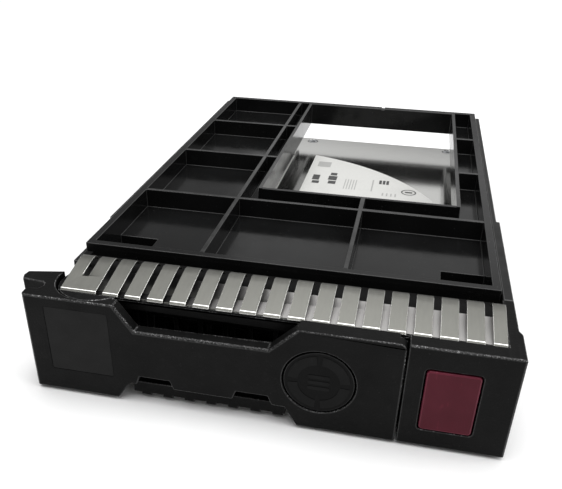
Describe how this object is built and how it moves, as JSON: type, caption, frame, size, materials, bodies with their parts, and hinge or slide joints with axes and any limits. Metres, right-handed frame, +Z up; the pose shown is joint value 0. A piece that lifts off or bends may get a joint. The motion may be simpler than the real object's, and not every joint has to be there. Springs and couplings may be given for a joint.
{
  "type": "hot-swap drive carrier",
  "caption": "Drive carrier with a pull lever, release button and spring gaskets; a ribbed tray converts the bay to hold a small solid-state drive.",
  "frame": {"origin": "under the middle of the assembly's width and length, on the ground plane that the rails stand on", "axes": "+X to the right seen from the front, +Y from the bezel to the connector, +Z up"},
  "size_m": [0.113, 0.1724, 0.0288],
  "materials": {
    "tray_plastic": "smooth black moulded plastic with fine scuffs",
    "bezel_plastic": "black plastic with a fine spark-eroded grain",
    "rail_plastic": "satin dark grey plastic",
    "gasket_steel": "satin stainless spring sheet",
    "screw_steel": "zinc-plated steel",
    "pin_steel": "ground steel",
    "spring_steel": "drawn spring wire",
    "lens_plastic": "smoked polished plastic",
    "lens_print": "translucent grey mark",
    "blank_label": "blank recessed label",
    "clear_plastic": "frosted clear plastic",
    "button_plastic": "maroon satin plastic",
    "latch_plastic": "dark grey acetal",
    "board_green": "solder-masked circuit board",
    "led_white": "light-emitting diode packages",
    "flex_polyimide": "polyimide ribbon",
    "gold_contact": "gold-plated contacts",
    "case_aluminium": "satin aluminium",
    "chip_epoxy": "moulded chip package",
    "tantalum": "moulded tantalum capacitors",
    "thermal_gel": "soft thermal pad",
    "connector_plastic": "black connector body",
    "label_white": "white coated label",
    "label_grey": "light grey strip label"
  },
  "bodies": {
    "carrier": {"converter_tray": "tray_plastic", "rail_left": "rail_plastic", "rail_right": "rail_plastic", "bezel_frame": "bezel_plastic", "emi_gasket_top": "gasket_steel", "emi_gasket_bottom": "gasket_steel", "bezel_screws": "screw_steel", "tray_screws": "screw_steel", "light_guide": "clear_plastic", "led_board": "board_green", "status_leds": "led_white", "flex_cable": "flex_polyimide", "rear_contact_board": "board_green", "rear_contact_pads": "gold_contact", "lever_pivot_pin": "pin_steel", "lever_spring": "spring_steel", "button_spring": "spring_steel", "latch_pin": "pin_steel", "ssd_base_case": "case_aluminium", "ssd_top_cover": "case_aluminium", "ssd_circuit_board": "board_green", "flash_chips": "chip_epoxy", "controller_chip": "chip_epoxy", "memory_chip": "chip_epoxy", "capacitors": "tantalum", "thermal_pad": "thermal_gel", "ssd_connector": "connector_plastic", "connector_contacts": "gold_contact", "ssd_case_screws": "screw_steel", "ssd_mounting_screws": "screw_steel", "ssd_label": "label_white", "ssd_side_label": "label_grey"},
    "lever": {"ejector_lever": "bezel_plastic", "lever_label_plate": "blank_label", "ring_lens": "lens_plastic", "ring_segments": "lens_print", "lens_icon": "lens_print"},
    "button": {"release_button": "button_plastic"},
    "latch": {"release_latch": "latch_plastic"}
  },
  "joints": [
    {"name": "lever_swing", "type": "hinge", "parent": "carrier", "child": "lever", "pos_m": [-0.0387, -0.0758, 0.0136], "axis": [0, 0, -1], "range_deg": [0, 38]},
    {"name": "button_press", "type": "slide", "parent": "carrier", "child": "button", "axis": [0, 1, 0], "range_m": [0, 0.0016], "stiffness_N_per_m": 500, "springref_m": -0.0005, "deforming": ["button_spring"]},
    {"name": "latch_turn", "type": "hinge", "parent": "carrier", "child": "latch", "pos_m": [0.038, -0.071, 0.0135], "axis": [0, 0, 1], "range_deg": [0, 11.5]}
  ],
  "couplings": [
    {"joint": "latch_turn", "follows": "button_press", "rad_per_m": 125}
  ]
}
